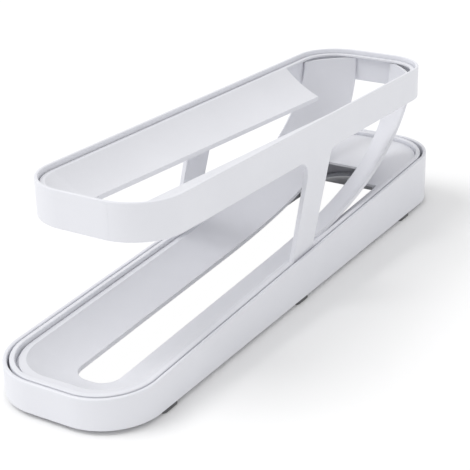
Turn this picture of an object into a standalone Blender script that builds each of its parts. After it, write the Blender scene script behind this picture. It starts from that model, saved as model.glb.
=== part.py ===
"""Two-level rolling egg dispenser: a moulded tray base, a frame that carries an upper band on two
struts, a slotted track in each level, a return chute at the back, and rubber feet.

Metres, +Z up, front towards -Y. The origin is at the centre of the footprint, on the table.
"""
import math

import bmesh
import bpy
from mathutils import Matrix, Vector

# Fits shared by all pieces
SEAT_GAP = 0.0003
CUT_OVERRUN = 0.005
WELD = 0.00001
BLANK_THICKNESS = 0.002
CORNER_STEPS = 10
ROUND_STEPS = 2
BEVEL_TURN_SHARE = 0.55
SMOOTH_TURN_SHARE = 0.36

# Base shell
BASE_LENGTH = 0.360
BASE_WIDTH = 0.087
BASE_CORNER = 0.031
BASE_WALL = 0.0022
BASE_FRONT_TOP = 0.0192
RIM_RISE_SHARE = 0.0435
FLANGE_WIDTH = 0.008
FLANGE_THICKNESS = 0.002
FLANGE_LIFT = 0.0004
BASE_RIM_ROUND = 0.0007

# Feet
FOOT_HEIGHT = 0.0024
FOOT_LENGTH = 0.013
FOOT_WIDTH = 0.007
FOOT_INSET = 0.0015
FOOT_CORNER = 0.0025
FOOT_CORNER_STEPS = 4
FOOT_POCKET = 0.0008
FOOT_ROUND = 0.0006
FOOT_FRONT_SETBACK = 0.0405
FOOT_REAR_INSET = 0.0535
FOOT_MIDDLE_SHARE = 0.494

# Main frame: lower ring, struts and upper band
RING_GAP = 0.0008
RING_WALL = 0.0028
RING_RIM_ROUND = 0.0006
LEDGE_WIDTH = 0.0018
LEDGE_THICKNESS = 0.0016
BAND_FRONT_SETBACK = 0.034
BAND_REAR_INSET = 0.013
BAND_CORNER = 0.0274
BAND_WALL = 0.0018
BAND_HEIGHT = 0.020
BAND_FRONT_TOP = 0.1053
BAND_FALL_SHARE = 0.037
BAND_LEDGE_WIDTH = 0.0016
BAND_LEDGE_THICKNESS = 0.0014
BAND_LEDGE_STOP = 0.022
STRUT_FOOT_FRONT = 0.1651
STRUT_FOOT_REAR = 0.1874
STRUT_HEAD_FRONT = 0.1856
STRUT_HEAD_REAR = 0.2102
STRUT_FRONT_FILLET = 0.008
STRUT_REAR_FILLET = 0.006
STRUT_FILLET_BURY = 0.0001
STRUT_BURY = 0.004
STRUT_INSET = 0.00005

# Tracks
TRACK_WALL = 0.0015
TRACK_BOW = 0.0015
TRACK_LAP = 0.0001
TRACK_LAP_DROP = 0.00005
SLOT_HALF_WIDTH = 0.0122
SLOT_CORNER = 0.010
SLOT_LIP = 0.0026
BOW_STEPS = 8
UPPER_GAP = 0.0006
UPPER_RECESS = 0.0028
UPPER_FLANGE = 0.0026
UPPER_SLOT_SETBACK = 0.013
UPPER_FRONT_DEPTH = 0.0119
UPPER_DEPTH_SHARE = 0.025
DROP_LENGTH = 0.055
LOWER_GAP = 0.0005
LOWER_RECESS = 0.0024
LOWER_SIDE_FLANGE = 0.0032
LOWER_FRONT_FLANGE = 0.0055
LOWER_SLOT_SETBACK = 0.026
LOWER_SLOT_DEPTH = 0.0109
DECK_LENGTH = 0.0775
DECK_NOTCH_MOUTH = 0.020
DECK_NOTCH_BACK = 0.0145
DECK_NOTCH_REACH = 0.021

# Return chute
CHUTE_RUN = 0.167
CHUTE_STEPS = 20
CHUTE_TOP_BOW = 0.002
CHUTE_BULGE_SHARE = 0.5
CHUTE_FLARE = 0.003
CHUTE_EDGE_LOW_HANDLE = 0.088
CHUTE_EDGE_TOP_HANDLE = 0.0265
CHUTE_SLOT_LOW_HANDLE = 0.085
CHUTE_SLOT_TOP_HANDLE = 0.061

# Colours and roughness
WHITE_PLASTIC = (0.80, 0.81, 0.83, 1.0)
LINER_PLASTIC = (0.82, 0.82, 0.84, 1.0)
RUBBER_GREY = (0.10, 0.105, 0.11, 1.0)
SHELL_ROUGHNESS_SHARE = 0.42
LINER_ROUGHNESS_SHARE = 0.45
RUBBER_ROUGHNESS_SHARE = 0.8


def along(setback):
    """Y of a point that lies a setback behind the base's front end."""
    return setback - BASE_LENGTH / 2


def from_rear(inset):
    """Y of a point that lies an inset before the base's rear end."""
    return BASE_LENGTH / 2 - inset


def rim_height(y):
    """Height of the base's and the lower ring's rim at a place along the object."""
    return BASE_FRONT_TOP + RIM_RISE_SHARE * (y - along(0))


def band_front():
    return along(BAND_FRONT_SETBACK)


def band_rear():
    return from_rear(BAND_REAR_INSET)


def band_top(y):
    """Height of the upper band's top edge, which falls towards the back."""
    return BAND_FRONT_TOP - BAND_FALL_SHARE * (y - band_front())


def band_bottom(y):
    return band_top(y) - BAND_HEIGHT


# Scene and collections
def clear_scene():
    for item in list(bpy.data.objects):
        bpy.data.objects.remove(item, do_unlink=True)


def new_collection(name):
    group = bpy.data.collections.new(name)
    bpy.context.scene.collection.children.link(group)
    return group


def plastic(name, colour, roughness):
    finish = bpy.data.materials.new(name)
    finish.use_nodes = True
    shader = finish.node_tree.nodes["Principled BSDF"]
    shader.inputs["Base Color"].default_value = colour
    shader.inputs["Roughness"].default_value = roughness
    shader.inputs["Metallic"].default_value = 0.0
    return finish


# Plan outlines
def corner_arc(centre_x, centre_y, radius, first_turn, steps=CORNER_STEPS):
    """A quarter arc that starts at first_turn quarter turns from +X and runs anticlockwise."""
    points = []
    for step in range(steps + 1):
        turn = (first_turn + step / steps) * math.pi / 2
        points.append((centre_x + radius * math.cos(turn), centre_y + radius * math.sin(turn)))
    return points


def loop_outline(half_width, front, rear, front_corner, rear_corner, steps=CORNER_STEPS):
    """A closed rounded rectangle in plan, anticlockwise."""
    side_rear = half_width - rear_corner
    side_front = half_width - front_corner
    points = corner_arc(side_rear, rear - rear_corner, rear_corner, 0, steps)
    points += corner_arc(-side_rear, rear - rear_corner, rear_corner, 1, steps)
    points += corner_arc(-side_front, front + front_corner, front_corner, 2, steps)
    points += corner_arc(side_front, front + front_corner, front_corner, 3, steps)
    return points


def front_run(half_width, front, end, corner):
    """The open front part of a rounded rectangle, from one side's end round the front to the other's."""
    side = half_width - corner
    points = [(-half_width, end)]
    points += corner_arc(-side, front + corner, corner, 2)
    points += corner_arc(side, front + corner, corner, 3)
    points.append((half_width, end))
    return points


# Solids from outlines
def add_spline(curve, points):
    spline = curve.splines.new("POLY")
    spline.points.add(len(points) - 1)
    for place, point in zip(spline.points, points):
        place.co = (point[0], point[1], 0.0, 1.0)
    spline.use_cyclic_u = True


def curve_to_mesh(item, group):
    """Turns a curve object into a closed mesh object with the same name and place."""
    bpy.context.view_layer.update()
    graph = bpy.context.evaluated_depsgraph_get()
    mesh = bpy.data.meshes.new_from_object(item.evaluated_get(graph))
    shape = bmesh.new()
    shape.from_mesh(mesh)
    bmesh.ops.remove_doubles(shape, verts=shape.verts, dist=WELD)
    bmesh.ops.recalc_face_normals(shape, faces=shape.faces)
    shape.to_mesh(mesh)
    shape.free()
    solid = bpy.data.objects.new(item.name + "_solid", mesh)
    solid.matrix_world = item.matrix_world.copy()
    name = item.name
    curve = item.data
    bpy.data.objects.remove(item, do_unlink=True)
    bpy.data.curves.remove(curve)
    solid.name = name
    group.objects.link(solid)
    return solid


def plate(name, group, outlines, thickness, placement=None):
    """A flat outline, with any further outlines as holes, extruded about its own plane."""
    curve = bpy.data.curves.new(name, "CURVE")
    curve.dimensions = "2D"
    curve.fill_mode = "BOTH"
    curve.extrude = thickness / 2
    for points in outlines:
        add_spline(curve, points)
    item = bpy.data.objects.new(name, curve)
    group.objects.link(item)
    if placement is not None:
        item.matrix_world = placement
    return curve_to_mesh(item, group)


def prism(name, group, outlines, bottom, top):
    """A plan outline raised between two surfaces, each a height that varies along the object."""
    solid = plate(name, group, outlines, BLANK_THICKNESS)
    for vertex in solid.data.vertices:
        level = top if vertex.co.z > 0 else bottom
        vertex.co.z = level(vertex.co.y)
    return solid


def round_edges(item, width):
    bevel = item.modifiers.new("rounded edges", "BEVEL")
    bevel.width = width
    bevel.segments = ROUND_STEPS
    bevel.limit_method = "ANGLE"
    bevel.angle_limit = BEVEL_TURN_SHARE * math.pi / 2


def combine(item, other, operation):
    joint = item.modifiers.new(other.name, "BOOLEAN")
    joint.operation = operation
    joint.solver = "EXACT"
    joint.object = other


def finish_part(item, finish):
    weld = item.modifiers.new("joined points", "WELD")
    weld.merge_threshold = WELD
    item.data.materials.clear()
    item.data.materials.append(finish)
    item.data.shade_smooth()
    item.data.set_sharp_from_angle(angle=SMOOTH_TURN_SHARE * math.pi / 2)


# Base shell
def base_inner_half():
    return BASE_WIDTH / 2 - BASE_WALL


def flange_top():
    return FOOT_HEIGHT + FLANGE_LIFT + FLANGE_THICKNESS


def foot_places():
    """Name, centre x and centre y of each foot."""
    across = BASE_WIDTH / 2 - FOOT_INSET - FOOT_WIDTH / 2
    front = along(FOOT_FRONT_SETBACK)
    rear = from_rear(FOOT_REAR_INSET)
    middle = front + (rear - front) * FOOT_MIDDLE_SHARE
    places = []
    for row, y in (("front", front), ("middle", middle), ("rear", rear)):
        places.append(("foot_" + row + "_left", -across, y))
        places.append(("foot_" + row + "_right", across, y))
    return places


def foot_block(name, group, x, y, bottom, top, spread):
    """A rounded pad in plan, made larger all round by a spread where it is a cutter."""
    half_width = FOOT_WIDTH / 2 + spread
    half_length = FOOT_LENGTH / 2 + spread
    corner = FOOT_CORNER + spread
    outline = loop_outline(half_width, -half_length, half_length, corner, corner, FOOT_CORNER_STEPS)
    pad = plate(name, group, [outline], top - bottom)
    pad.location = (x, y, (bottom + top) / 2)
    return pad


def base_outline(inset):
    corner = BASE_CORNER - inset
    return loop_outline(BASE_WIDTH / 2 - inset, along(inset), from_rear(inset), corner, corner)


def make_base_shell(group, cutters, finish):
    wall = [base_outline(0), base_outline(BASE_WALL)]
    shell = prism("base_shell", group, wall, lambda y: FOOT_HEIGHT, rim_height)
    round_edges(shell, BASE_RIM_ROUND)
    floor = [base_outline(BASE_WALL / 2), base_outline(BASE_WALL + FLANGE_WIDTH)]
    underside = FOOT_HEIGHT + FLANGE_LIFT
    flange = prism("base_flange", cutters, floor, lambda y: underside, lambda y: flange_top())
    combine(shell, flange, "UNION")
    for name, x, y in foot_places():
        low = FOOT_HEIGHT - CUT_OVERRUN
        high = underside + FOOT_POCKET
        pocket = foot_block("pocket_for_" + name, cutters, x, y, low, high, SEAT_GAP)
        combine(shell, pocket, "DIFFERENCE")
    finish_part(shell, finish)
    return shell


def make_feet(group, finish):
    feet = []
    for name, x, y in foot_places():
        top = FOOT_HEIGHT + FLANGE_LIFT + FOOT_POCKET - SEAT_GAP
        foot = foot_block(name, group, x, y, 0, top, 0)
        round_edges(foot, FOOT_ROUND)
        finish_part(foot, finish)
        feet.append(foot)
    return feet


# Main frame
def ring_half():
    return base_inner_half() - RING_GAP


def ring_front_corner():
    """The front corners are as wide as the base's own inner corners."""
    return BASE_CORNER - BASE_WALL


def ring_rear_corner():
    """The rear corners are wider, so a crescent of the base's floor shows beside them."""
    return BASE_CORNER


def ring_outline(inset):
    setback = BASE_WALL + RING_GAP + inset
    half = ring_half() - inset
    return loop_outline(half, along(setback), from_rear(setback), ring_front_corner() - inset,
                        ring_rear_corner() - inset)


def band_half():
    """The band and the struts are flush with the lower ring's outer wall."""
    return ring_half()


def band_outline(inset):
    corner = BAND_CORNER - inset
    return loop_outline(band_half() - inset, band_front() + inset, band_rear() - inset, corner, corner)


def ledge_prism(name, group, outlines, thickness, top):
    return prism(name, group, outlines, lambda y: top(y) - thickness, top)


def lower_ledge_top(y):
    return lower_rim(y) - TRACK_WALL - SEAT_GAP


def upper_ledge_top(y):
    return upper_rim(y) - TRACK_WALL - SEAT_GAP


def band_ledge_outline():
    """A U on the inside of the band, buried half a wall deep, that stops before the drop opening."""
    end = wing_end() - BAND_LEDGE_STOP
    bury = BAND_WALL / 2
    depth = BAND_WALL + BAND_LEDGE_WIDTH
    outer = front_run(band_half() - bury, band_front() + bury, end, BAND_CORNER - bury)
    inner = front_run(band_half() - depth, band_front() + depth, end, BAND_CORNER - depth)
    return outer + list(reversed(inner))


def rounded_corner(before, corner, after, radius):
    """Points of an arc of the given radius that rounds one corner of a side outline."""
    inward = (Vector(before) - Vector(corner)).normalized()
    outward = (Vector(after) - Vector(corner)).normalized()
    half_angle = inward.angle(outward) / 2
    run = radius / math.tan(half_angle)
    centre = Vector(corner) + (inward + outward).normalized() * radius / math.sin(half_angle)
    start = Vector(corner) + inward * run - centre
    finish = Vector(corner) + outward * run - centre
    points = []
    for step in range(CORNER_STEPS + 1):
        share = step / CORNER_STEPS
        points.append(tuple(centre + slerp(start, finish, share)))
    return points


def slerp(start, finish, share):
    """Turns one radius vector of an arc towards another."""
    angle = start.angle(finish)
    return (start * math.sin((1 - share) * angle) + finish * math.sin(share * angle)) / math.sin(angle)


def under_band(setback):
    """A point of the line that the struts' fillets run out into, just inside the band's underside."""
    y = along(setback)
    return Vector((y, band_bottom(y) + STRUT_FILLET_BURY))


def on_rim(setback):
    y = along(setback)
    return Vector((y, rim_height(y)))


def strut_outline():
    """Side outline of a strut in y and z, with filleted corners under the band."""
    foot_front = on_rim(STRUT_FOOT_FRONT)
    foot_rear = on_rim(STRUT_FOOT_REAR)
    head_front = under_band(STRUT_HEAD_FRONT)
    head_rear = under_band(STRUT_HEAD_REAR)
    band_front = under_band(STRUT_HEAD_FRONT - BAND_HEIGHT)
    band_rear = under_band(STRUT_HEAD_REAR + BAND_HEIGHT)
    front_fillet = rounded_corner(band_front, head_front, foot_front, STRUT_FRONT_FILLET)
    rear_fillet = rounded_corner(foot_rear, head_rear, band_rear, STRUT_REAR_FILLET)
    down_front = (foot_front - head_front).normalized() * STRUT_BURY
    down_rear = (foot_rear - head_rear).normalized() * STRUT_BURY
    rise = Vector((0, STRUT_BURY))
    points = [tuple(Vector(front_fillet[0]) + rise)] + front_fillet
    points += [tuple(foot_front + down_front), tuple(foot_rear + down_rear)]
    points += rear_fillet + [tuple(Vector(rear_fillet[-1]) + rise)]
    return points


def make_strut(name, group, side):
    """side is 1 on the right and -1 on the left."""
    centre = side * (band_half() - RING_WALL / 2)
    upright = Matrix(((0, 0, 1, centre), (1, 0, 0, 0), (0, 1, 0, 0), (0, 0, 0, 1)))
    return plate(name, group, [strut_outline()], RING_WALL - 2 * STRUT_INSET, upright)


def make_main_frame(group, cutters, finish):
    low = flange_top() + SEAT_GAP
    ring = [ring_outline(0), ring_outline(RING_WALL)]
    frame = prism("main_frame", group, ring, lambda y: low, rim_height)
    round_edges(frame, RING_RIM_ROUND)
    seat = [ring_outline(RING_WALL / 2), ring_outline(RING_WALL + LEDGE_WIDTH)]
    combine(frame, ledge_prism("lower_ledge", cutters, seat, LEDGE_THICKNESS, lower_ledge_top), "UNION")
    loop = [band_outline(0), band_outline(BAND_WALL)]
    band = prism("upper_band", cutters, loop, band_bottom, band_top)
    round_edges(band, RING_RIM_ROUND)
    shelf_loop = [band_ledge_outline()]
    shelf = ledge_prism("upper_ledge", cutters, shelf_loop, BAND_LEDGE_THICKNESS, upper_ledge_top)
    combine(band, shelf, "UNION")
    for name, side in (("strut_left", -1), ("strut_right", 1)):
        combine(band, make_strut(name, cutters, side), "UNION")
    combine(frame, band, "UNION")
    finish_part(frame, finish)
    return frame


# Tracks: rows of points across a half track, from its rim to the slot and down the slot's lip
def bowed_row(edge, slot, bow, away):
    """Points on an arc from the edge to the slot that bulges by a bow towards away."""
    chord = slot - edge
    half_chord = chord.length / 2
    radius = (half_chord ** 2 + bow ** 2) / (2 * bow)
    half_angle = 2 * math.atan(bow / half_chord)
    out = away - chord * (away.dot(chord) / chord.length_squared)
    out.normalize()
    middle = (edge + slot) / 2
    points = []
    for step in range(BOW_STEPS + 1):
        turn = (2 * step / BOW_STEPS - 1) * half_angle
        rise = radius * math.cos(turn) - (radius - bow)
        points.append(middle + chord.normalized() * radius * math.sin(turn) + out * rise)
    return points


def track_row(edge_place, slot_place, rim_at, slot_at):
    """A row across a track from two places in plan, with a lip straight down along the slot."""
    down = Vector((0, 0, -1))
    edge = Vector((*edge_place, rim_at(edge_place[1]) - TRACK_LAP_DROP))
    slot = Vector((*slot_place, slot_at(slot_place[1])))
    return bowed_row(edge, slot, TRACK_BOW, down) + [slot + down * SLOT_LIP]


def front_rows(edge, slot, rim_at, slot_at):
    """Rows round the front of a half track: edge and slot are each (half width, front, corner)."""
    rows = [track_row((0, edge[1]), (0, slot[1]), rim_at, slot_at)]
    for step in range(CORNER_STEPS + 1):
        turn = (3 + step / CORNER_STEPS) * math.pi / 2
        places = []
        for half, front, corner in (edge, slot):
            x = half - corner + corner * math.cos(turn)
            places.append((x, front + corner + corner * math.sin(turn)))
        rows.append(track_row(places[0], places[1], rim_at, slot_at))
    return rows


def skin_from_rows(name, group, rows):
    """An open half sheet through the rows, mirrored and given its thickness on its outer side."""
    shape = bmesh.new()
    grid = []
    for row in rows:
        grid.append([shape.verts.new(point) for point in row])
    for first, second in zip(grid, grid[1:]):
        for column in range(len(first) - 1):
            shape.faces.new((first[column], second[column], second[column + 1], first[column + 1]))
    mesh = bpy.data.meshes.new(name)
    shape.to_mesh(mesh)
    shape.free()
    item = bpy.data.objects.new(name, mesh)
    group.objects.link(item)
    mirror = item.modifiers.new("other half", "MIRROR")
    mirror.use_axis = (True, False, False)
    mirror.use_mirror_merge = True
    mirror.merge_threshold = WELD
    solidify = item.modifiers.new("wall", "SOLIDIFY")
    solidify.thickness = TRACK_WALL
    solidify.offset = -1.0
    solidify.use_even_offset = True
    return item


def make_track(name, group, cutters, finish, rows, rim_outlines, rim_at):
    """A bowed and slotted skin joined to a flat rim."""
    track = skin_from_rows(name, group, rows)
    rim = ledge_prism(name + "_rim", cutters, rim_outlines, TRACK_WALL, rim_at)
    combine(track, rim, "UNION")
    finish_part(track, finish)
    return track


# Lower track and return chute
def lower_rim(y):
    return rim_height(y) - LOWER_RECESS


def lower_slot(y):
    return lower_rim(y) - LOWER_SLOT_DEPTH


def lower_outer_half():
    return ring_half() - RING_WALL - LOWER_GAP


def lower_inner_half():
    return lower_outer_half() - LOWER_SIDE_FLANGE


def lower_corner():
    return ring_front_corner() - LOWER_GAP


def lower_setback():
    """Distance of the lower track's outer edge from the base's ends."""
    return BASE_WALL + RING_GAP + RING_WALL + LOWER_GAP


def lower_rim_outlines():
    """The flange all round, which widens at the rear into a deck with a notch behind the chute."""
    setback = lower_setback()
    rear_corner = ring_rear_corner() - RING_WALL - LOWER_GAP
    ends = (along(setback), from_rear(setback))
    outer = loop_outline(lower_outer_half(), ends[0], ends[1], lower_corner(), rear_corner)
    deck_front = from_rear(DECK_LENGTH)
    notch_end = deck_front + DECK_NOTCH_REACH
    half = lower_inner_half() - TRACK_LAP
    front = ends[0] + LOWER_FRONT_FLANGE + TRACK_LAP
    opening = front_run(half, front, deck_front, lower_corner() - LOWER_FRONT_FLANGE - TRACK_LAP)
    opening += [(DECK_NOTCH_MOUTH, deck_front), (DECK_NOTCH_BACK, notch_end)]
    opening += [(-DECK_NOTCH_BACK, notch_end), (-DECK_NOTCH_MOUTH, deck_front)]
    return [outer, opening]


def bezier(start, first, second, finish, share):
    rest = 1 - share
    ends = start * rest ** 3 + finish * share ** 3
    handles = first * rest + second * share
    return ends + handles * 3 * rest * share


def chute_start():
    return band_rear() - CHUTE_RUN


def chute_rows():
    """Rows up the return chute, which ends as a rounded back wall inside the upper band."""
    start_y = chute_start()
    wall = BAND_WALL + SEAT_GAP + TRACK_WALL
    back = band_rear() - wall
    top = upper_ledge_top(back)
    run = Vector((0, 1, RIM_RISE_SHARE))
    up = Vector((0, 0, 1))
    edge_start = Vector((lower_inner_half(), start_y, lower_rim(start_y) - TRACK_LAP_DROP))
    edge_low = edge_start + run * CHUTE_EDGE_LOW_HANDLE + Vector((CHUTE_FLARE, 0, 0))
    edge_finish = Vector((band_half() - wall, back - (BAND_CORNER - wall), top))
    edge_high = edge_finish - up * CHUTE_EDGE_TOP_HANDLE
    slot_start = Vector((SLOT_HALF_WIDTH, start_y, lower_slot(start_y)))
    slot_low = slot_start + run * CHUTE_SLOT_LOW_HANDLE
    slot_finish = Vector((SLOT_HALF_WIDTH, back, top))
    slot_high = slot_finish - up * CHUTE_SLOT_TOP_HANDLE
    rows = []
    for step in range(1, CHUTE_STEPS + 1):
        share = step / CHUTE_STEPS
        edge = bezier(edge_start, edge_low, edge_high, edge_finish, share)
        slot = bezier(slot_start, slot_low, slot_high, slot_finish, share)
        bow = TRACK_BOW + (CHUTE_TOP_BOW - TRACK_BOW) * share
        lip = SLOT_LIP + (TRACK_WALL - SLOT_LIP) * share
        turn = share * math.pi / 2
        away = Vector((0, math.sin(turn), -math.cos(turn)))
        bulge = away + Vector((math.sin(turn) * CHUTE_BULGE_SHARE, 0, 0))
        rows.append(bowed_row(edge, slot, bow, bulge) + [slot + away * lip])
    return rows


def make_lower_track(group, cutters, finish):
    front = along(lower_setback())
    edge = (lower_inner_half(), front + LOWER_FRONT_FLANGE, lower_corner() - LOWER_FRONT_FLANGE)
    slot = (SLOT_HALF_WIDTH, front + LOWER_SLOT_SETBACK, SLOT_CORNER)
    rows = front_rows(edge, slot, lower_rim, lower_slot)
    start_y = chute_start()
    places = ((lower_inner_half(), start_y), (SLOT_HALF_WIDTH, start_y))
    rows.append(track_row(places[0], places[1], lower_rim, lower_slot))
    rows += chute_rows()
    return make_track("lower_track", group, cutters, finish, rows, lower_rim_outlines(), lower_rim)


# Upper track
def upper_rim(y):
    return band_top(y) - UPPER_RECESS


def upper_slot(y):
    return band_top(y) - UPPER_FRONT_DEPTH - UPPER_DEPTH_SHARE * (y - band_front())


def wing_end():
    """Where the upper track's wings stop and the drop opening starts."""
    return band_rear() - DROP_LENGTH


def make_upper_track(group, cutters, finish):
    gap = BAND_WALL + UPPER_GAP
    reach = gap + UPPER_FLANGE
    half = band_half() - reach
    edge = (half, band_front() + reach, BAND_CORNER - reach)
    slot = (SLOT_HALF_WIDTH, band_front() + gap + UPPER_SLOT_SETBACK, SLOT_CORNER)
    rows = front_rows(edge, slot, upper_rim, upper_slot)
    rows.append(track_row((half, wing_end()), (SLOT_HALF_WIDTH, wing_end()), upper_rim, upper_slot))
    rim = [band_outline(gap), band_outline(reach + TRACK_LAP)]
    return make_track("upper_track", group, cutters, finish, rows, rim, upper_rim)


def build():
    clear_scene()
    group = new_collection("rolling_egg_dispenser")
    cutters = new_collection("cutters")
    shell_finish = plastic("white_plastic", WHITE_PLASTIC, SHELL_ROUGHNESS_SHARE)
    liner_finish = plastic("liner_plastic", LINER_PLASTIC, LINER_ROUGHNESS_SHARE)
    rubber = plastic("grey_rubber", RUBBER_GREY, RUBBER_ROUGHNESS_SHARE)
    parts = [make_base_shell(group, cutters, shell_finish)]
    parts.append(make_main_frame(group, cutters, shell_finish))
    parts.append(make_upper_track(group, cutters, liner_finish))
    parts.append(make_lower_track(group, cutters, liner_finish))
    parts += make_feet(group, rubber)
    stand = bpy.data.objects.new("egg_dispenser_origin", None)
    group.objects.link(stand)
    for item in parts:
        item.parent = stand
    for item in cutters.objects:
        item.hide_render = True
        item.display_type = "WIRE"


build()
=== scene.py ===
import math

import bmesh
import bpy
from mathutils import Matrix, Vector


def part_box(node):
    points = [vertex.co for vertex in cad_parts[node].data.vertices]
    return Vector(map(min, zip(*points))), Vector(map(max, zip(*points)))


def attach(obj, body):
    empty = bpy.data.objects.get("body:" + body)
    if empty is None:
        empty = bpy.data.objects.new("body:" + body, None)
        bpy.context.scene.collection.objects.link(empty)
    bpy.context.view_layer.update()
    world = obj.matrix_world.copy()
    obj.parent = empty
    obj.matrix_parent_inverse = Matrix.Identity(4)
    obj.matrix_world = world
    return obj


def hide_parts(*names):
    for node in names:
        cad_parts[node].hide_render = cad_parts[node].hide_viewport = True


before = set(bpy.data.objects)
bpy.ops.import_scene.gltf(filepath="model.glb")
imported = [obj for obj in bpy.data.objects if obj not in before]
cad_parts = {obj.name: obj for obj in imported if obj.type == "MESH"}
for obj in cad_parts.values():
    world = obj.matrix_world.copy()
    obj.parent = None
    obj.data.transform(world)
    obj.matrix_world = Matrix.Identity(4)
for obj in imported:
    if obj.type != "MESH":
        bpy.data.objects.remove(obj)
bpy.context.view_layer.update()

# Camera, fitted to the photograph's outlines
CAMERA_PLACE = (0.359167, -0.581177, 0.330583)
CAMERA_AZIMUTH = 32.161
CAMERA_ELEVATION = 23.858
CAMERA_ROLL = -1.416
CAMERA_LENS = 99.905
SENSOR_WIDTH = 36.0
CLIP_NEAR = 0.01
CLIP_FAR = 50

# Floor and light
WHITE = (1, 1, 1, 1)
FLOOR_SIZE = 12
FLOOR_COLOUR = (0.96, 0.96, 0.96, 1)
FLOOR_ROUGHNESS = 0.9
WORLD_LIGHT = 0.80
SUN_STRENGTH = 1.15
SUN_TURN = (18, -30, 0)
SUN_SPREAD = 35

# Finishes: two tints, the range of roughness, the grain's scale, and how deep grain and waves are
SHELL_LOOK = {
    "tints": ((0.765, 0.772, 0.815), (0.795, 0.802, 0.845)),
    "roughness": (0.36, 0.48),
    "grain": 1400,
    "grain_depth": 0.000012,
    "wave_depth": 0.00004,
}
# The liner's tints are darker than the shell's: partly the liner's own tone, partly painted shade for the
# shade that falls on the tracks inside the frame
LINER_LOOK = {
    "tints": ((0.74, 0.745, 0.785), (0.77, 0.775, 0.815)),
    "roughness": (0.34, 0.44),
    "grain": 1700,
    "grain_depth": 0.000008,
    "wave_depth": 0.00004,
}
RUBBER_LOOK = {
    "tints": ((0.11, 0.112, 0.116), (0.15, 0.152, 0.157)),
    "roughness": (0.7, 0.88),
    "grain": 2200,
    "grain_depth": 0.00003,
    "wave_depth": 0.0,
}
CLOUD_SCALE = 22
PATCH_SCALE = 130
WAVE_SCALE = 30
NOISE_LOW = 0.25
NOISE_HIGH = 0.75
REFRACTION = 1.46

# Fineness of the curved surfaces
CORNER_STEPS = 40
FOOT_STEPS = 10
ARC_STEPS = 4
BOW_STEPS = 28
CHUTE_STEPS = 90
ROUND_SEGMENTS = 3
SMALL_ROUND_SEGMENTS = 2
ROUND_ANGLE = 50
SHARP_ANGLE = 38
SHADING_WEIGHT = 80
BLANK_HALF = 0.001
WELD = 0.00001

# Base shell and feet
BASE_LENGTH = 0.360
BASE_WIDTH = 0.087
BASE_CORNER = 0.031
BASE_WALL = 0.0022
BASE_FRONT_TOP = 0.0192
RIM_RISE = 0.0435
FLANGE_WIDTH = 0.008
FLANGE_THICKNESS = 0.002
FLANGE_LIFT = 0.0004
BASE_RIM_ROUND = 0.0008
SMALL_ROUND = 0.0003
FOOT_HEIGHT = 0.0024
FOOT_TOP = 0.0033
FOOT_LENGTH = 0.013
FOOT_WIDTH = 0.007
FOOT_CORNER = 0.0025
FOOT_ROUND = 0.0004
FOOT_SHIFT = 0.0011

# Main frame
RING_GAP = 0.0008
RING_WALL = 0.0028
RING_ROUND = 0.0007
LEDGE_WIDTH = 0.0018
LEDGE_THICKNESS = 0.0016
BAND_FRONT_SETBACK = 0.034
BAND_REAR_INSET = 0.013
BAND_CORNER = 0.0274
BAND_WALL = 0.0018
BAND_ROUND = 0.0006
BAND_HEIGHT = 0.020
BAND_FRONT_TOP = 0.1053
BAND_FALL = 0.037
BAND_LEDGE_WIDTH = 0.0016
BAND_LEDGE_THICKNESS = 0.0014
BAND_LEDGE_STOP = 0.022
STRUT_FOOT_FRONT = 0.1651
STRUT_FOOT_REAR = 0.1874
STRUT_HEAD_FRONT = 0.1856
STRUT_HEAD_REAR = 0.2102
STRUT_FRONT_FILLET = 0.008
STRUT_REAR_FILLET = 0.006
STRUT_BURY = 0.003
STRUT_INSET = 0.00002
STRUT_ROUND = 0.0004
WITNESS_X = 0.0165
WITNESS_WIDTH = 0.00022
WITNESS_PROUD = 0.00005
WITNESS_STOP = 0.0012
WITNESS_ROUND = 0.00003

# Tracks and return chute
SEAT_GAP = 0.0003
TRACK_WALL = 0.0015
TRACK_BOW = 0.0015
TRACK_LAP = 0.0001
SLOT_HALF_WIDTH = 0.0122
SLOT_CORNER = 0.010
SLOT_LIP = 0.0026
UPPER_GAP = 0.0006
UPPER_RECESS = 0.0028
UPPER_FLANGE = 0.0026
UPPER_SLOT_SETBACK = 0.013
UPPER_FRONT_DEPTH = 0.0119
UPPER_DEPTH_RISE = 0.025
DROP_LENGTH = 0.055
LOWER_GAP = 0.0005
LOWER_RECESS = 0.0024
LOWER_SIDE_FLANGE = 0.0032
LOWER_FRONT_FLANGE = 0.0055
LOWER_SLOT_SETBACK = 0.026
LOWER_SLOT_DEPTH = 0.0109
DECK_LENGTH = 0.0775
DECK_NOTCH_MOUTH = 0.020
DECK_NOTCH_BACK = 0.0145
DECK_NOTCH_REACH = 0.021
CHUTE_RUN = 0.167
CHUTE_TOP_BOW = 0.002
CHUTE_BULGE = 0.5
CHUTE_FLARE = 0.003
CHUTE_EDGE_LOW_HANDLE = 0.088
CHUTE_EDGE_TOP_HANDLE = 0.0265
CHUTE_SLOT_LOW_HANDLE = 0.085
CHUTE_SLOT_TOP_HANDLE = 0.061

# Places derived from the sizes
REAR = BASE_LENGTH / 2
BAND_FRONT = BAND_FRONT_SETBACK - REAR
BAND_REAR = REAR - BAND_REAR_INSET
RING_HALF = BASE_WIDTH / 2 - BASE_WALL - RING_GAP
RING_FRONT_CORNER = BASE_CORNER - BASE_WALL
LOWER_SETBACK = BASE_WALL + RING_GAP + RING_WALL + LOWER_GAP
LOWER_HALF = RING_HALF - RING_WALL - LOWER_GAP
LOWER_INNER_HALF = LOWER_HALF - LOWER_SIDE_FLANGE
LOWER_CORNER = RING_FRONT_CORNER - LOWER_GAP
WING_END = BAND_REAR - DROP_LENGTH
CHUTE_START = BAND_REAR - CHUTE_RUN


def rim_height(y):
    return BASE_FRONT_TOP + RIM_RISE * (y + REAR)


def band_top(y):
    return BAND_FRONT_TOP - BAND_FALL * (y - BAND_FRONT)


def band_bottom(y):
    return band_top(y) - BAND_HEIGHT


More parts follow.
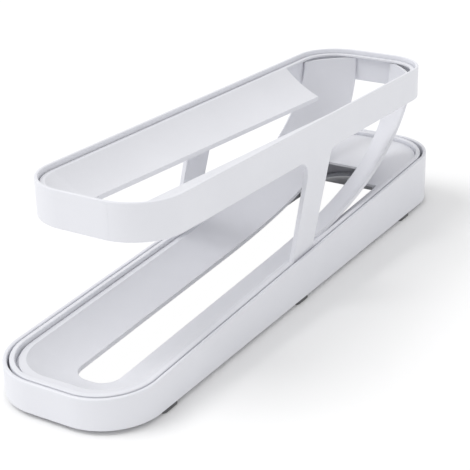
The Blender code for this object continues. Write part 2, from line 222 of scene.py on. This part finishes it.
def lower_rim(y):
    return rim_height(y) - LOWER_RECESS


def lower_slot(y):
    return lower_rim(y) - LOWER_SLOT_DEPTH


def upper_rim(y):
    return band_top(y) - UPPER_RECESS


def upper_slot(y):
    return band_top(y) - UPPER_FRONT_DEPTH - UPPER_DEPTH_RISE * (y - BAND_FRONT)


def level(height):
    return lambda y: height


# Plan outlines
def corner_arc(centre_x, centre_y, radius, first_turn, steps):
    points = []
    for step in range(steps + 1):
        turn = (first_turn + step / steps) * math.pi / 2
        points.append((centre_x + radius * math.cos(turn), centre_y + radius * math.sin(turn)))
    return points


def loop_outline(half, front, rear, front_corner, rear_corner, steps=CORNER_STEPS):
    points = corner_arc(half - rear_corner, rear - rear_corner, rear_corner, 0, steps)
    points += corner_arc(rear_corner - half, rear - rear_corner, rear_corner, 1, steps)
    points += corner_arc(front_corner - half, front + front_corner, front_corner, 2, steps)
    return points + corner_arc(half - front_corner, front + front_corner, front_corner, 3, steps)


def front_run(half, front, end, corner):
    points = [(-half, end)] + corner_arc(corner - half, front + corner, corner, 2, CORNER_STEPS)
    return points + corner_arc(half - corner, front + corner, corner, 3, CORNER_STEPS) + [(half, end)]


def base_outline(inset):
    corner = BASE_CORNER - inset
    return loop_outline(BASE_WIDTH / 2 - inset, inset - REAR, REAR - inset, corner, corner)


def ring_outline(inset):
    setback = BASE_WALL + RING_GAP + inset
    return loop_outline(RING_HALF - inset, setback - REAR, REAR - setback, RING_FRONT_CORNER - inset,
                        BASE_CORNER - inset)


def band_outline(inset):
    corner = BAND_CORNER - inset
    return loop_outline(RING_HALF - inset, BAND_FRONT + inset, BAND_REAR - inset, corner, corner)


# Solids from outlines
def rounded_edge(centre_inset, radius, height, drop, first, last):
    """Entries of a profile round an edge: angles in quarter turns, 0 pointing inwards and 1 up."""
    entries = []
    for step in range(ARC_STEPS + 1):
        turn = (first + (last - first) * step / ARC_STEPS) * math.pi / 2
        lift = drop + radius * math.sin(turn)
        entries.append((centre_inset + radius * math.cos(turn), height, lift))
    return entries


def outline_rows(shape, outline_at, entries):
    """One row of points for each (inset, height function, lift) of a profile."""
    rows = []
    for inset, height, lift in entries:
        rows.append([shape.verts.new((x, y, height(y) + lift)) for x, y in outline_at(inset)])
    return rows


def join_rows(shape, first, second):
    for index in range(len(first)):
        after = (index + 1) % len(first)
        shape.faces.new((first[index], first[after], second[after], second[index]))


def sweep_profile(outline_at, entries):
    """A closed profile carried round an outline."""
    shape = bmesh.new()
    rows = outline_rows(shape, outline_at, entries)
    for first, second in zip(rows, rows[1:] + rows[:1]):
        join_rows(shape, first, second)
    bmesh.ops.recalc_face_normals(shape, faces=shape.faces)
    return to_mesh(shape)


def to_mesh(shape):
    mesh = bpy.data.meshes.new("piece")
    shape.to_mesh(mesh)
    shape.free()
    return mesh


def shaped(mesh, modifiers):
    """The mesh after a list of (type, settings) modifiers."""
    item = bpy.data.objects.new("shaping", mesh)
    bpy.context.scene.collection.objects.link(item)
    for kind, settings in modifiers:
        modifier = item.modifiers.new(kind, kind)
        for name, value in settings.items():
            setattr(modifier, name, value)
    bpy.context.view_layer.update()
    graph = bpy.context.evaluated_depsgraph_get()
    result = bpy.data.meshes.new_from_object(item.evaluated_get(graph))
    bpy.data.objects.remove(item, do_unlink=True)
    return result


def rounding(width, segments=ROUND_SEGMENTS):
    return ("BEVEL", {"width": width, "segments": segments, "limit_method": "ANGLE",
                      "angle_limit": math.radians(ROUND_ANGLE)})


def plate(outlines, bottom, top, width):
    """A plan outline with holes, raised between two height functions, with rounded edges."""
    curve = bpy.data.curves.new("outline", "CURVE")
    curve.dimensions = "2D"
    curve.fill_mode = "BOTH"
    curve.extrude = BLANK_HALF
    for points in outlines:
        spline = curve.splines.new("POLY")
        spline.points.add(len(points) - 1)
        for place, point in zip(spline.points, points):
            place.co = (point[0], point[1], 0.0, 1.0)
        spline.use_cyclic_u = True
    item = bpy.data.objects.new("outline", curve)
    bpy.context.scene.collection.objects.link(item)
    bpy.context.view_layer.update()
    graph = bpy.context.evaluated_depsgraph_get()
    mesh = bpy.data.meshes.new_from_object(item.evaluated_get(graph))
    bpy.data.objects.remove(item, do_unlink=True)
    shape = bmesh.new()
    shape.from_mesh(mesh)
    bmesh.ops.remove_doubles(shape, verts=shape.verts, dist=WELD)
    bmesh.ops.recalc_face_normals(shape, faces=shape.faces)
    for vertex in shape.verts:
        height = top if vertex.co.z > 0 else bottom
        vertex.co.z = height(vertex.co.y)
    return shaped(to_mesh(shape), [rounding(width)] if width else [])


def finished(name, meshes, finish, replaced):
    """One object made of closed meshes, which stands for a CAD node and rides on its body."""
    shape = bmesh.new()
    for mesh in meshes:
        shape.from_mesh(mesh)
    item = bpy.data.objects.new(name, to_mesh(shape))
    bpy.context.scene.collection.objects.link(item)
    item.data.materials.clear()
    item.data.materials.append(finish)
    item.data.shade_smooth()
    item.data.set_sharp_from_angle(angle=math.radians(SHARP_ANGLE))
    even = item.modifiers.new("even shading", "WEIGHTED_NORMAL")
    even.keep_sharp = True
    even.weight = SHADING_WEIGHT
    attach(item, "root")
    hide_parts(replaced)
    return item


# Base shell: a rounded wall with a narrow floor inside it
def base_mesh():
    r = BASE_RIM_ROUND
    s = SMALL_ROUND
    reach = BASE_WALL + FLANGE_WIDTH
    low = level(FOOT_HEIGHT)
    floor_low = level(FOOT_HEIGHT + FLANGE_LIFT)
    floor_top = level(FOOT_HEIGHT + FLANGE_LIFT + FLANGE_THICKNESS)
    entries = rounded_edge(s, s, low, s, 3, 2)
    entries += rounded_edge(r, r, rim_height, -r, 2, 1)
    entries += rounded_edge(BASE_WALL - r, r, rim_height, -r, 1, 0)
    entries += [(BASE_WALL, floor_top, 0)]
    entries += rounded_edge(reach - s, s, floor_top, -s, 1, 0)
    entries += rounded_edge(reach - s, s, floor_low, s, 0, -1)
    entries += [(BASE_WALL, floor_low, 0), (BASE_WALL, low, 0)]
    return sweep_profile(base_outline, entries)


def foot_mesh(x, y):
    def outline_at(inset):
        corner = FOOT_CORNER - inset
        front = inset - FOOT_LENGTH / 2
        points = loop_outline(FOOT_WIDTH / 2 - inset, front, -front, corner, corner, FOOT_STEPS)
        return [(x + point[0], y + point[1]) for point in points]
    shape = bmesh.new()
    entries = rounded_edge(FOOT_ROUND, FOOT_ROUND, level(0), FOOT_ROUND, 3, 2)
    rows = outline_rows(shape, outline_at, entries + [(0, level(FOOT_TOP), 0)])
    for first, second in zip(rows, rows[1:]):
        join_rows(shape, first, second)
    shape.faces.new(rows[0])
    shape.faces.new(rows[-1])
    bmesh.ops.recalc_face_normals(shape, faces=shape.faces)
    return to_mesh(shape)


# Main frame: lower ring with its ledge, struts and upper band with its ledge
def ring_mesh():
    r = RING_ROUND
    bottom = level(FOOT_HEIGHT + FLANGE_LIFT + FLANGE_THICKNESS + SEAT_GAP)
    ledge = LOWER_RECESS + TRACK_WALL + SEAT_GAP
    entries = [(0, bottom, 0)]
    entries += rounded_edge(r, r, rim_height, -r, 2, 1)
    entries += rounded_edge(RING_WALL - r, r, rim_height, -r, 1, 0)
    entries += [(RING_WALL, rim_height, -ledge), (RING_WALL + LEDGE_WIDTH, rim_height, -ledge)]
    entries += [(RING_WALL + LEDGE_WIDTH, rim_height, -ledge - LEDGE_THICKNESS)]
    entries += [(RING_WALL, rim_height, -ledge - LEDGE_THICKNESS), (RING_WALL, bottom, 0)]
    return sweep_profile(ring_outline, entries)


def band_mesh():
    r = BAND_ROUND
    entries = rounded_edge(r, r, band_bottom, r, 3, 2)
    entries += rounded_edge(r, r, band_top, -r, 2, 1)
    entries += rounded_edge(BAND_WALL - r, r, band_top, -r, 1, 0)
    entries += rounded_edge(BAND_WALL - r, r, band_bottom, r, 0, -1)
    return sweep_profile(band_outline, entries)


def witness_mesh():
    """A faint moulding line down the band's front, beside the middle."""
    reach = WITNESS_X - (RING_HALF - BAND_CORNER)
    turn = math.asin(reach / BAND_CORNER)
    y = BAND_FRONT + BAND_CORNER * (1 - math.cos(turn))
    low = band_bottom(y) + WITNESS_STOP
    high = band_top(y) - WITNESS_STOP
    size = (WITNESS_WIDTH, 2 * WITNESS_PROUD, high - low)
    shape = bmesh.new()
    bmesh.ops.create_cube(shape, size=1, matrix=Matrix.Diagonal((*size, 1)))
    shape.transform(Matrix.Translation((WITNESS_X, y, (low + high) / 2)) @ Matrix.Rotation(turn, 4, "Z"))
    return shaped(to_mesh(shape), [rounding(WITNESS_ROUND, SMALL_ROUND_SEGMENTS)])


def shelf_mesh():
    end = WING_END - BAND_LEDGE_STOP
    bury = BAND_WALL / 2
    depth = BAND_WALL + BAND_LEDGE_WIDTH
    outer = front_run(RING_HALF - bury, BAND_FRONT + bury, end, BAND_CORNER - bury)
    inner = front_run(RING_HALF - depth, BAND_FRONT + depth, end, BAND_CORNER - depth)
    drop = TRACK_WALL + SEAT_GAP
    return plate([outer + list(reversed(inner))], lambda y: upper_rim(y) - drop - BAND_LEDGE_THICKNESS,
                 lambda y: upper_rim(y) - drop, 0)


def fillet(before, corner, after, radius):
    inward = (Vector(before) - Vector(corner)).normalized()
    outward = (Vector(after) - Vector(corner)).normalized()
    half_angle = inward.angle(outward) / 2
    run = radius / math.tan(half_angle)
    centre = Vector(corner) + (inward + outward).normalized() * radius / math.sin(half_angle)
    start = Vector(corner) + inward * run - centre
    finish = Vector(corner) + outward * run - centre
    angle = start.angle(finish)
    points = []
    for step in range(CORNER_STEPS // 2 + 1):
        share = step / (CORNER_STEPS // 2)
        spoke = (start * math.sin((1 - share) * angle) + finish * math.sin(share * angle)) / math.sin(angle)
        points.append(centre + spoke)
    return points


def strut_mesh(side):
    def under_band(setback):
        y = setback - REAR
        return Vector((y, band_bottom(y)))
    def on_rim(setback):
        y = setback - REAR
        return Vector((y, rim_height(y)))
    foot_front = on_rim(STRUT_FOOT_FRONT)
    foot_rear = on_rim(STRUT_FOOT_REAR)
    head_front = under_band(STRUT_HEAD_FRONT)
    head_rear = under_band(STRUT_HEAD_REAR)
    before = under_band(STRUT_HEAD_FRONT - BAND_HEIGHT)
    after = under_band(STRUT_HEAD_REAR + BAND_HEIGHT)
    front_fillet = fillet(before, head_front, foot_front, STRUT_FRONT_FILLET)
    rear_fillet = fillet(foot_rear, head_rear, after, STRUT_REAR_FILLET)
    rise = Vector((0, STRUT_BURY))
    points = [front_fillet[0] + rise] + front_fillet
    points += [foot_front + (foot_front - head_front).normalized() * STRUT_BURY]
    points += [foot_rear + (foot_rear - head_rear).normalized() * STRUT_BURY]
    points += rear_fillet + [rear_fillet[-1] + rise]
    shape = bmesh.new()
    outer_x = side * (RING_HALF - STRUT_INSET)
    inner_x = side * (RING_HALF - RING_WALL + STRUT_INSET)
    outer = [shape.verts.new((outer_x, point[0], point[1])) for point in points]
    inner = [shape.verts.new((inner_x, point[0], point[1])) for point in points]
    shape.faces.new(outer)
    shape.faces.new(inner)
    join_rows(shape, outer, inner)
    bmesh.ops.recalc_face_normals(shape, faces=shape.faces)
    return shaped(to_mesh(shape), [rounding(STRUT_ROUND)])


# Tracks: rows of points across a half track, from its rim to the slot and down the slot's lip
def bowed_row(edge, slot, bow, away):
    chord = slot - edge
    half_chord = chord.length / 2
    radius = (half_chord ** 2 + bow ** 2) / (2 * bow)
    half_angle = 2 * math.atan(bow / half_chord)
    out = away - chord * (away.dot(chord) / chord.length_squared)
    out.normalize()
    middle = (edge + slot) / 2
    points = []
    for step in range(BOW_STEPS + 1):
        turn = (2 * step / BOW_STEPS - 1) * half_angle
        rise = radius * math.cos(turn) - (radius - bow)
        points.append(middle + chord.normalized() * radius * math.sin(turn) + out * rise)
    return points


def track_row(edge_place, slot_place, rim_at, slot_at):
    down = Vector((0, 0, -1))
    edge = Vector((*edge_place, rim_at(edge_place[1])))
    slot = Vector((*slot_place, slot_at(slot_place[1])))
    return bowed_row(edge, slot, TRACK_BOW, down) + [slot + down * SLOT_LIP]


def front_rows(edge, slot, rim_at, slot_at):
    rows = [track_row((0, edge[1]), (0, slot[1]), rim_at, slot_at)]
    for step in range(CORNER_STEPS + 1):
        turn = (3 + step / CORNER_STEPS) * math.pi / 2
        places = []
        for half, front, corner in (edge, slot):
            places.append((half - corner + corner * math.cos(turn), front + corner + corner * math.sin(turn)))
        rows.append(track_row(places[0], places[1], rim_at, slot_at))
    return rows


def skin_mesh(rows):
    shape = bmesh.new()
    grid = [[shape.verts.new(point) for point in row] for row in rows]
    for first, second in zip(grid, grid[1:]):
        for column in range(len(first) - 1):
            shape.faces.new((first[column], second[column], second[column + 1], first[column + 1]))
    mirror = ("MIRROR", {"use_axis": (True, False, False), "use_mirror_merge": True, "merge_threshold": WELD})
    wall = ("SOLIDIFY", {"thickness": TRACK_WALL, "offset": -1.0, "use_even_offset": True})
    return shaped(to_mesh(shape), [mirror, wall, rounding(SMALL_ROUND, SMALL_ROUND_SEGMENTS)])


def bezier(start, first, second, finish, share):
    rest = 1 - share
    return start * rest ** 3 + finish * share ** 3 + (first * rest + second * share) * 3 * rest * share


def chute_rows():
    wall = BAND_WALL + SEAT_GAP + TRACK_WALL
    back = BAND_REAR - wall
    top = upper_rim(back) - TRACK_WALL - SEAT_GAP
    run = Vector((0, 1, RIM_RISE))
    up = Vector((0, 0, 1))
    edge_start = Vector((LOWER_INNER_HALF, CHUTE_START, lower_rim(CHUTE_START)))
    edge_low = edge_start + run * CHUTE_EDGE_LOW_HANDLE + Vector((CHUTE_FLARE, 0, 0))
    edge_finish = Vector((RING_HALF - wall, back - (BAND_CORNER - wall), top))
    edge_high = edge_finish - up * CHUTE_EDGE_TOP_HANDLE
    slot_start = Vector((SLOT_HALF_WIDTH, CHUTE_START, lower_slot(CHUTE_START)))
    slot_low = slot_start + run * CHUTE_SLOT_LOW_HANDLE
    slot_finish = Vector((SLOT_HALF_WIDTH, back, top))
    slot_high = slot_finish - up * CHUTE_SLOT_TOP_HANDLE
    rows = []
    for step in range(1, CHUTE_STEPS + 1):
        share = step / CHUTE_STEPS
        edge = bezier(edge_start, edge_low, edge_high, edge_finish, share)
        slot = bezier(slot_start, slot_low, slot_high, slot_finish, share)
        bow = TRACK_BOW + (CHUTE_TOP_BOW - TRACK_BOW) * share
        lip = SLOT_LIP + (TRACK_WALL - SLOT_LIP) * share
        turn = share * math.pi / 2
        away = Vector((0, math.sin(turn), -math.cos(turn)))
        bulge = away + Vector((math.sin(turn) * CHUTE_BULGE, 0, 0))
        rows.append(bowed_row(edge, slot, bow, bulge) + [slot + away * lip])
    return rows


def lower_track_meshes():
    front = LOWER_SETBACK - REAR
    edge = (LOWER_INNER_HALF, front + LOWER_FRONT_FLANGE, LOWER_CORNER - LOWER_FRONT_FLANGE)
    slot = (SLOT_HALF_WIDTH, front + LOWER_SLOT_SETBACK, SLOT_CORNER)
    rows = front_rows(edge, slot, lower_rim, lower_slot)
    last_edge = (LOWER_INNER_HALF, CHUTE_START)
    last_slot = (SLOT_HALF_WIDTH, CHUTE_START)
    rows.append(track_row(last_edge, last_slot, lower_rim, lower_slot))
    rear_corner = BASE_CORNER - RING_WALL - LOWER_GAP
    outer = loop_outline(LOWER_HALF, front, REAR - LOWER_SETBACK, LOWER_CORNER, rear_corner)
    deck_front = REAR - DECK_LENGTH
    notch_end = deck_front + DECK_NOTCH_REACH
    opening = front_run(LOWER_INNER_HALF - TRACK_LAP, front + LOWER_FRONT_FLANGE + TRACK_LAP, deck_front,
                        LOWER_CORNER - LOWER_FRONT_FLANGE - TRACK_LAP)
    opening += [(DECK_NOTCH_MOUTH, deck_front), (DECK_NOTCH_BACK, notch_end)]
    opening += [(-DECK_NOTCH_BACK, notch_end), (-DECK_NOTCH_MOUTH, deck_front)]
    rim = plate([outer, opening], lambda y: lower_rim(y) - TRACK_WALL, lower_rim, SMALL_ROUND)
    return [skin_mesh(rows + chute_rows()), rim]


def upper_track_meshes():
    gap = BAND_WALL + UPPER_GAP
    reach = gap + UPPER_FLANGE
    half = RING_HALF - reach
    edge = (half, BAND_FRONT + reach, BAND_CORNER - reach)
    slot = (SLOT_HALF_WIDTH, BAND_FRONT + gap + UPPER_SLOT_SETBACK, SLOT_CORNER)
    rows = front_rows(edge, slot, upper_rim, upper_slot)
    rows.append(track_row((half, WING_END), (SLOT_HALF_WIDTH, WING_END), upper_rim, upper_slot))
    s = SMALL_ROUND
    inner = reach + TRACK_LAP
    entries = rounded_edge(gap + s, s, upper_rim, s - TRACK_WALL, 3, 2)
    entries += rounded_edge(gap + s, s, upper_rim, -s, 2, 1)
    entries += rounded_edge(inner - s, s, upper_rim, -s, 1, 0)
    entries += rounded_edge(inner - s, s, upper_rim, s - TRACK_WALL, 0, -1)
    return [skin_mesh(rows), sweep_profile(band_outline, entries)]


# Procedural finishes
def node(tree, kind, **values):
    made = tree.nodes.new(kind)
    for name, value in values.items():
        setattr(made, name, value)
    return made


def noise(tree, place, scale, detail, roughness):
    made = node(tree, "ShaderNodeTexNoise")
    made.inputs["Scale"].default_value = scale
    made.inputs["Detail"].default_value = detail
    made.inputs["Roughness"].default_value = roughness
    tree.links.new(place, made.inputs["Vector"])
    return made.outputs["Fac"]


def spread(tree, value, low, high):
    made = node(tree, "ShaderNodeMapRange")
    made.inputs["From Min"].default_value = NOISE_LOW
    made.inputs["From Max"].default_value = NOISE_HIGH
    made.inputs["To Min"].default_value = low
    made.inputs["To Max"].default_value = high
    tree.links.new(value, made.inputs["Value"])
    return made.outputs["Result"]


def mixed(tree, factor, dark, light):
    made = node(tree, "ShaderNodeMix", data_type="RGBA")
    tree.links.new(factor, made.inputs["Factor"])
    made.inputs["A"].default_value = (*dark, 1)
    made.inputs["B"].default_value = (*light, 1)
    return made.outputs["Result"]


def moulded(name, look):
    """A moulded surface: cloudy tint, patchy gloss, a fine grain and slow waves."""
    finish = bpy.data.materials.new(name)
    finish.use_nodes = True
    tree = finish.node_tree
    shader = tree.nodes["Principled BSDF"]
    place = node(tree, "ShaderNodeTexCoord").outputs["Object"]
    cloud = spread(tree, noise(tree, place, CLOUD_SCALE, 4, 0.55), 0, 1)
    tree.links.new(mixed(tree, cloud, *look["tints"]), shader.inputs["Base Color"])
    patches = noise(tree, place, PATCH_SCALE, 5, 0.6)
    tree.links.new(spread(tree, patches, *look["roughness"]), shader.inputs["Roughness"])
    waves = node(tree, "ShaderNodeBump")
    waves.inputs["Strength"].default_value = 1.0
    waves.inputs["Distance"].default_value = look["wave_depth"]
    tree.links.new(noise(tree, place, WAVE_SCALE, 1, 0.4), waves.inputs["Height"])
    fine = node(tree, "ShaderNodeBump")
    fine.inputs["Strength"].default_value = 1.0
    fine.inputs["Distance"].default_value = look["grain_depth"]
    tree.links.new(noise(tree, place, look["grain"], 3, 0.6), fine.inputs["Height"])
    tree.links.new(waves.outputs["Normal"], fine.inputs["Normal"])
    tree.links.new(fine.outputs["Normal"], shader.inputs["Normal"])
    shader.inputs["IOR"].default_value = REFRACTION
    return finish


def add_pieces():
    shell = moulded("white_plastic", SHELL_LOOK)
    liner = moulded("liner_plastic", LINER_LOOK)
    rubber = moulded("grey_rubber", RUBBER_LOOK)
    finished("base_shell_looks", [base_mesh()], shell, "base_shell")
    frame_parts = [ring_mesh(), band_mesh(), shelf_mesh(), witness_mesh(), strut_mesh(-1), strut_mesh(1)]
    finished("main_frame_looks", frame_parts, shell, "main_frame")
    finished("upper_track_looks", upper_track_meshes(), liner, "upper_track")
    finished("lower_track_looks", lower_track_meshes(), liner, "lower_track")
    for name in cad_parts:
        if name.startswith("foot"):
            low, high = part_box(name)
            centre = (low[0] + high[0]) / 2
            pad = foot_mesh(centre + math.copysign(FOOT_SHIFT, centre), (low[1] + high[1]) / 2)
            finished(name + "_looks", [pad], rubber, name)


# Camera, floor and light
def add_camera():
    azimuth = math.radians(CAMERA_AZIMUTH)
    elevation = math.radians(CAMERA_ELEVATION)
    roll = math.radians(CAMERA_ROLL)
    back = Vector((math.sin(azimuth) * math.cos(elevation), -math.cos(azimuth) * math.cos(elevation),
                   math.sin(elevation)))
    level_right = Vector((math.cos(azimuth), math.sin(azimuth), 0))
    upright = back.cross(level_right)
    right = level_right * math.cos(roll) + upright * math.sin(roll)
    up = upright * math.cos(roll) - level_right * math.sin(roll)
    data = bpy.data.cameras.new("photo_camera")
    data.lens = CAMERA_LENS
    data.sensor_width = SENSOR_WIDTH
    data.clip_start = CLIP_NEAR
    data.clip_end = CLIP_FAR
    camera = bpy.data.objects.new("photo_camera", data)
    bpy.context.scene.collection.objects.link(camera)
    turn = Matrix((right, up, back)).transposed().to_4x4()
    camera.matrix_world = Matrix.Translation(CAMERA_PLACE) @ turn
    bpy.context.scene.camera = camera


def seen_directly(tree):
    """1 for rays that show a thing as it is: camera, mirror-like and see-through ones."""
    path = node(tree, "ShaderNodeLightPath")
    total = path.outputs["Is Camera Ray"]
    for name in ("Is Glossy Ray", "Is Transmission Ray"):
        larger = node(tree, "ShaderNodeMath", operation="MAXIMUM")
        tree.links.new(total, larger.inputs[0])
        tree.links.new(path.outputs[name], larger.inputs[1])
        total = larger.outputs[0]
    return total


def inside(tree, value, limit):
    """1 where a coordinate is closer to zero than a limit."""
    size = node(tree, "ShaderNodeMath", operation="ABSOLUTE")
    tree.links.new(value, size.inputs[0])
    small = node(tree, "ShaderNodeMath", operation="LESS_THAN")
    tree.links.new(size.outputs[0], small.inputs[0])
    small.inputs[1].default_value = limit
    return small.outputs[0]


def product(tree, first, second):
    made = node(tree, "ShaderNodeMath", operation="MULTIPLY")
    tree.links.new(first, made.inputs[0])
    tree.links.new(second, made.inputs[1])
    return made.outputs[0]


def floor_finish():
    """Pale and matt. Inside the object's footprint, for directly seen rays, it glows plain white: painted
    light that takes away the object's shadow there, so the openings show white.
    """
    finish = bpy.data.materials.new("floor")
    finish.use_nodes = True
    tree = finish.node_tree
    shader = tree.nodes["Principled BSDF"]
    shader.inputs["Base Color"].default_value = FLOOR_COLOUR
    shader.inputs["Roughness"].default_value = FLOOR_ROUGHNESS
    shader.inputs["Specular IOR Level"].default_value = 0.0
    place = node(tree, "ShaderNodeSeparateXYZ")
    tree.links.new(node(tree, "ShaderNodeNewGeometry").outputs["Position"], place.inputs[0])
    # Painted light: the area under the object, inside the base's floor, where the floor glows white instead
    # of taking the object's shadow
    reach = BASE_WALL + FLANGE_WIDTH
    painted_light_area = product(tree, inside(tree, place.outputs["X"], BASE_WIDTH / 2 - reach),
                     inside(tree, place.outputs["Y"], REAR - 2 * reach))
    # The white glow painted over the shadow under the object
    white = node(tree, "ShaderNodeEmission")
    white.inputs["Color"].default_value = WHITE
    blend = node(tree, "ShaderNodeMixShader")
    tree.links.new(product(tree, painted_light_area, seen_directly(tree)), blend.inputs["Fac"])
    tree.links.new(shader.outputs[0], blend.inputs[1])
    tree.links.new(white.outputs[0], blend.inputs[2])
    tree.links.new(blend.outputs[0], tree.nodes["Material Output"].inputs["Surface"])
    return finish


def add_floor():
    bpy.ops.mesh.primitive_plane_add(size=FLOOR_SIZE)
    floor = bpy.context.object
    floor.name = "floor"
    floor.data.materials.append(floor_finish())


def add_light():
    world = bpy.data.worlds.new("studio")
    bpy.context.scene.world = world
    world.use_nodes = True
    tree = world.node_tree
    dome = tree.nodes["Background"]
    dome.inputs["Color"].default_value = WHITE
    dome.inputs["Strength"].default_value = WORLD_LIGHT
    plain = node(tree, "ShaderNodeBackground")
    plain.inputs["Color"].default_value = WHITE
    blend = node(tree, "ShaderNodeMixShader")
    tree.links.new(seen_directly(tree), blend.inputs["Fac"])
    tree.links.new(dome.outputs[0], blend.inputs[1])
    tree.links.new(plain.outputs[0], blend.inputs[2])
    tree.links.new(blend.outputs[0], tree.nodes["World Output"].inputs["Surface"])
    sun = bpy.data.lights.new("key", "SUN")
    sun.energy = SUN_STRENGTH
    sun.angle = math.radians(SUN_SPREAD)
    lamp = bpy.data.objects.new("key", sun)
    lamp.rotation_euler = [math.radians(value) for value in SUN_TURN]
    bpy.context.scene.collection.objects.link(lamp)


add_pieces()
add_camera()
add_floor()
add_light()
bpy.context.scene.view_settings.view_transform = "Standard"
